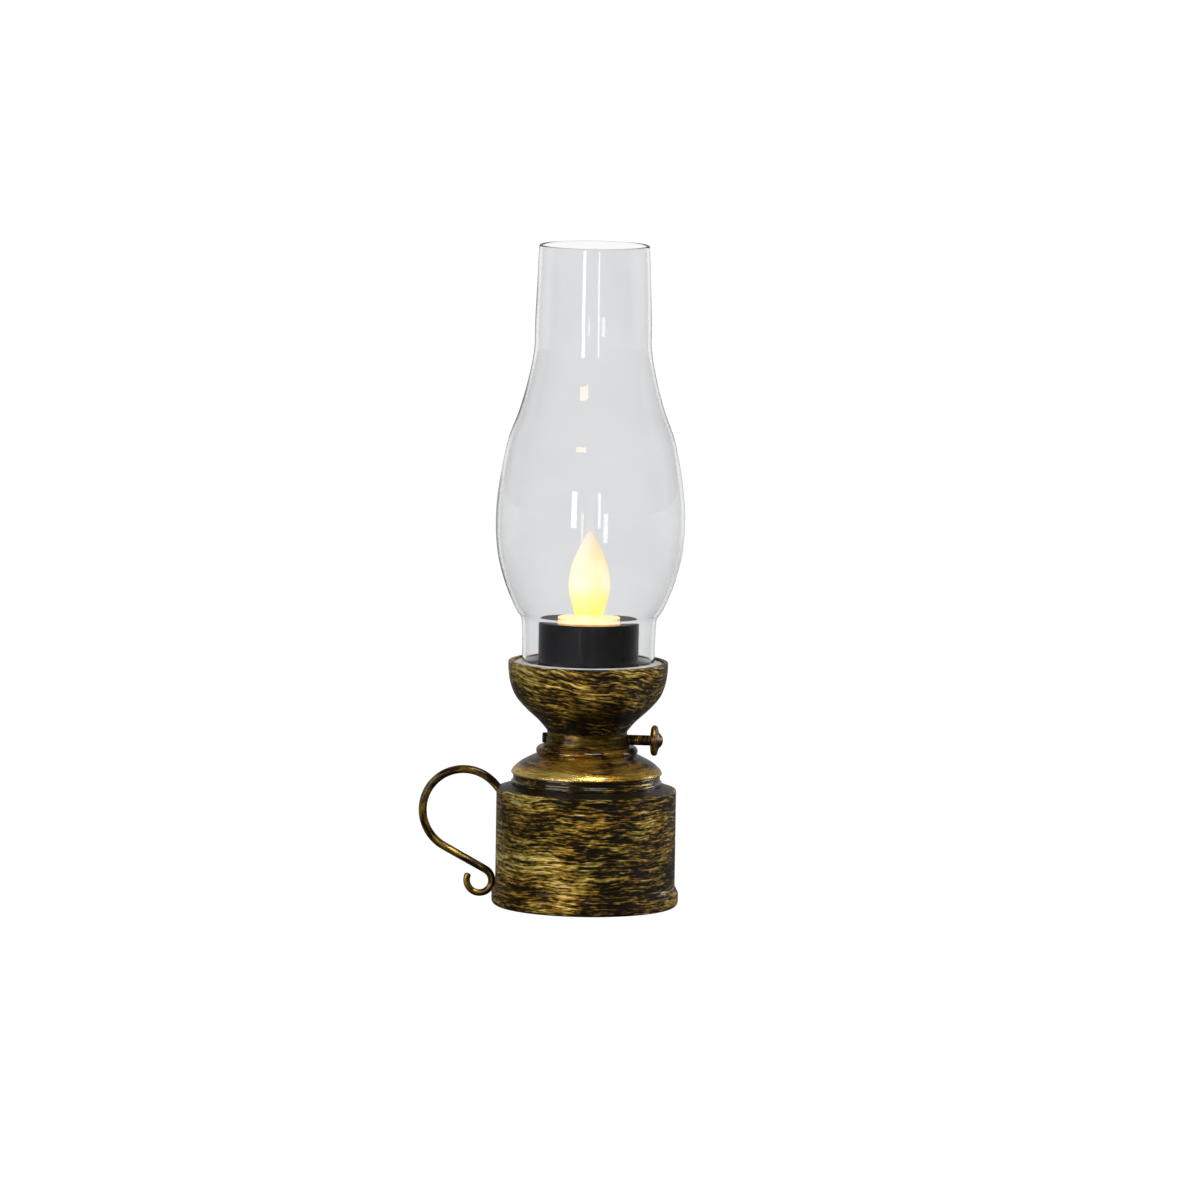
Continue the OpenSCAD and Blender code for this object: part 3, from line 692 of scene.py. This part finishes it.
discTop = top + flame["discRise"]
outline = (backwards(arcPoints(0, top + flame["boreTop"], flame["bore"], 0, 90, 8))
           + [(flame["bore"], top - flame["skirt"]), (flame["lip"], top - flame["skirt"]),
              (flame["lip"], top - 1.22), (flame["disc"], top - 1.2)]
           + arcPoints(flame["disc"] - flame["discEdge"], discTop - flame["discEdge"], flame["discEdge"], 0, 90, 6)
           + arcPoints(4.5, top + 1.5, 0.7, 270, 180, 6)
           + flowing(raised(flame["tongue"], top) + [(0, tip)], 10))
turned("flameAndDisc", outline, flameFinish, "candle", "flame_diffuser", flame["segments"],
       closed=False)
print("candle made")


# the parts inside and underneath keep their own solids
nickelFinish = metalFinish("nickel strip", (0.72, 0.70, 0.66), 0.26, (900.0, 900.0, 200.0))
cellFinish = metalFinish("cell steel", (0.68, 0.68, 0.68), 0.30, (300.0, 2600.0, 300.0))
lensFinish, tree, skin = newFinish("led lens", Roughness=0.2, Emission_Strength=1.0)
cloud = noiseOf(tree, objectPlace(tree), 500.0)
tree.links.new(ramp(tree, cloud, between((1.0, 0.62, 0.22), (1.0, 0.75, 0.35))), skin.inputs["Base Color"])
tree.links.new(ramp(tree, cloud, between((1.0, 0.55, 0.15), (1.0, 0.70, 0.28))), skin.inputs["Emission Color"])
keptSolids = {
    "base_plate": insideFinish, "candle_base": insideFinish, "battery_carrier": insideFinish,
    "switch_slider": insideFinish, "battery_door": insideFinish,
    "shaft_clips": nickelFinish, "led_leads": nickelFinish, "contact_positive": nickelFinish,
    "contact_negative": nickelFinish, "switch_wiper": nickelFinish,
    "coin_cell": cellFinish, "led": lensFinish,
}
for name, finish in keptSolids.items():
    mesh = frame["nodes"][name].data
    if not mesh.materials:
        mesh.materials.append(finish)
    for i in range(len(mesh.materials)):
        mesh.materials[i] = finish
print("inner parts painted")


def straightSight(tree):
    # 1 where the floor or sky is looked at, also through the chimney, and 0 where it only lights or is mirrored
    path = addNode(tree, "ShaderNodeLightPath").outputs
    return calc(tree, "LESS_THAN", calc(tree, "ADD", path["Diffuse Depth"], path["Glossy Depth"]), 0.5)


def insideWall(tree):
    # 1 for light that has only travelled inside the chimney's wall, so that the wall's edges stay pale
    depth = addNode(tree, "ShaderNodeLightPath").outputs["Transmission Depth"]
    return calc(tree, "COMPARE", depth, 2.0, 1.1)


room = {
    "floorSize": 15, "floorLevel": -0.0002, "floorShades": (0.20, 0.22), "floorSeen": 0.98,
    "floorGlow": (0.1, 0.8, 0.03, 0.40),  # from one place behind the lamp to another, so bright
    "floorEdge": (0.0, 0.2), "skyEdge": (0.1, 0.4),  # where the chimney's edges start and stop to be pale
    "skyBehind": (0.1, 0.9, 0.0, 0.35), "skyFront": (-0.2, -1.0, 0.02, 0.06), "skyAbove": 0.04, "skySeen": 1.02,
}
floorFinish, tree, skin = newFinish("pale floor", Roughness=0.7)
place = objectPlace(tree)
shades = between(*[grey(shade) for shade in room["floorShades"]])
tree.links.new(ramp(tree, noiseOf(tree, place, 3.0), shades), skin.inputs["Base Color"])
skin.inputs["Emission Color"].default_value = (1, 1, 1, 1)
depth = addNode(tree, "ShaderNodeSeparateXYZ", {"Vector": place}).outputs["Y"]
glow = mapped(tree, depth, *room["floorGlow"])
edgeGlow = mapped(tree, depth, *room["floorEdge"])
glow = calc(tree, "MAXIMUM", glow, calc(tree, "MULTIPLY", insideWall(tree), edgeGlow))
seen = addNode(tree, "ShaderNodeMix", {"Factor": straightSight(tree), "A": glow, "B": room["floorSeen"]},
               data_type="FLOAT")
tree.links.new(seen.outputs[0], skin.inputs["Emission Strength"])
below = addNode(tree, "ShaderNodeNewGeometry").outputs["Backfacing"]  # from below the floor doesn't hide the lamp
clear = addNode(tree, "ShaderNodeBsdfTransparent")
oneSided = addNode(tree, "ShaderNodeMixShader", {0: below, 1: skin.outputs[0], 2: clear.outputs[0]})
tree.links.new(oneSided.outputs[0], tree.nodes["Material Output"].inputs["Surface"])
shape = bmesh.new()
bmesh.ops.create_grid(shape, x_segments=8, y_segments=8, size=room["floorSize"],
                      matrix=Matrix.Translation((0, 0, room["floorLevel"])))
mesh = bpy.data.meshes.new("floor")
shape.to_mesh(mesh)
shape.free()
mesh.materials.append(floorFinish)
floor = bpy.data.objects.new("floor", mesh)
bpy.context.scene.collection.objects.link(floor)

world = bpy.data.worlds.new("studio")
bpy.context.scene.world = world
world.use_nodes = True
tree = world.node_tree
tree.nodes.clear()
direction = addNode(tree, "ShaderNodeTexCoord").outputs["Generated"]
x, y, z = addNode(tree, "ShaderNodeSeparateXYZ", {"Vector": direction}).outputs
shade = calc(tree, "ADD", mapped(tree, y, *room["skyBehind"]), mapped(tree, y, *room["skyFront"]))
shade = calc(tree, "MULTIPLY_ADD", calc(tree, "MAXIMUM", z, 0.0), room["skyAbove"], shade)
edgeGlow = mapped(tree, y, *room["skyEdge"])
shade = calc(tree, "MAXIMUM", shade, calc(tree, "MULTIPLY", insideWall(tree), edgeGlow))
seen = addNode(tree, "ShaderNodeMix", {"Factor": straightSight(tree), "A": shade, "B": room["skySeen"]},
               data_type="FLOAT")
sky = addNode(tree, "ShaderNodeBackground", {"Color": (1, 1, 1, 1), "Strength": seen.outputs[0]})
addNode(tree, "ShaderNodeOutputWorld", {"Surface": sky.outputs[0]})


def groupOf(name, pieces):
    group = bpy.data.collections.new(name)
    for piece in pieces:
        group.objects.link(piece)
    return group


clearPieces = groupOf("clear pieces", [glass, housing])
solidPieces = groupOf("solid pieces", [o for o in bpy.data.objects if o.type == "MESH" and o not in (glass, floor)])
bodyPieces = groupOf("body pieces", [o for o in solidPieces.objects if o.name not in ("candleHousing", "flameAndDisc")])

view = {"azimuth": 6.0, "elevation": 6.5, "roll": 0.9, "distance": 3.0, "lens": 322.9, "sensor": 36,
        "aside": 0.0030, "height": 0.0858, "farthest": 60}
# angle from the camera's own direction, to its right when positive; aim is a height on the lamp's axis
lights = {
    "topSoftbox": {"angle": 22, "distance": 0.50, "height": 0.85, "aim": 0.05, "size": (0.45, 0.30),
                   "watts": 7.0, "shinesOn": bodyPieces},
    "fillLeft": {"angle": -46, "distance": 1.0, "height": 0.22, "aim": 0.05, "size": (0.70, 0.42),
                 "watts": 7.0, "shinesOn": solidPieces},
    "rimRight": {"angle": 112, "distance": 0.9, "height": 0.12, "aim": 0.05, "size": (0.45, 0.40),
                 "watts": 4.0, "shinesOn": bodyPieces},
    "warmGlint": {"angle": -15, "distance": 0.80, "height": 0.47, "aim": 0.144, "size": (0.20, 0.06),
                  "watts": 0.28, "shinesOn": clearPieces, "colour": (1.0, 0.60, 0.30)},
    "stripLeft": {"angle": -20, "distance": 1.2, "height": 0.16, "aim": 0.12, "size": (0.13, 0.34),
                  "watts": 1.0, "shinesOn": clearPieces},
    "stripRight": {"angle": 10.5, "distance": 1.2, "height": 0.16, "aim": 0.12, "size": (0.07, 0.34),
                   "watts": 0.40, "shinesOn": clearPieces},
}
for name, light in lights.items():
    data = bpy.data.lights.new(name, "AREA")
    data.shape = "RECTANGLE"
    data.size, data.size_y = light["size"]
    data.energy = light["watts"]
    data.color = light.get("colour", (1, 1, 1))
    angle = math.radians(view["azimuth"] + light["angle"])
    stands = Vector((light["distance"] * math.sin(angle), -light["distance"] * math.cos(angle), light["height"]))
    made = bpy.data.objects.new(name, data)
    made.location = stands
    made.rotation_euler = (Vector((0, 0, light["aim"])) - stands).to_track_quat("-Z", "Y").to_euler()
    bpy.context.scene.collection.objects.link(made)
    made.light_linking.receiver_collection = light["shinesOn"]

azimuth, elevation = math.radians(view["azimuth"]), math.radians(view["elevation"])
right = Vector((math.cos(azimuth), math.sin(azimuth), 0))
back = Vector((math.sin(azimuth) * math.cos(elevation), -math.cos(azimuth) * math.cos(elevation), math.sin(elevation)))
aim = right * view["aside"] + Vector((0, 0, view["height"]))
camera = bpy.data.objects.new("camera", bpy.data.cameras.new("camera"))
camera.location = aim + back * view["distance"]
camera.rotation_euler = ((-back).to_track_quat("-Z", "Y").to_matrix()
                         @ Matrix.Rotation(math.radians(view["roll"]), 3, "Z")).to_euler()
camera.data.lens = view["lens"]
camera.data.sensor_width = view["sensor"]
camera.data.clip_end = view["farthest"]
bpy.context.scene.collection.objects.link(camera)
bpy.context.scene.camera = camera
bpy.context.scene.view_settings.view_transform = "Standard"
print("studio set up")
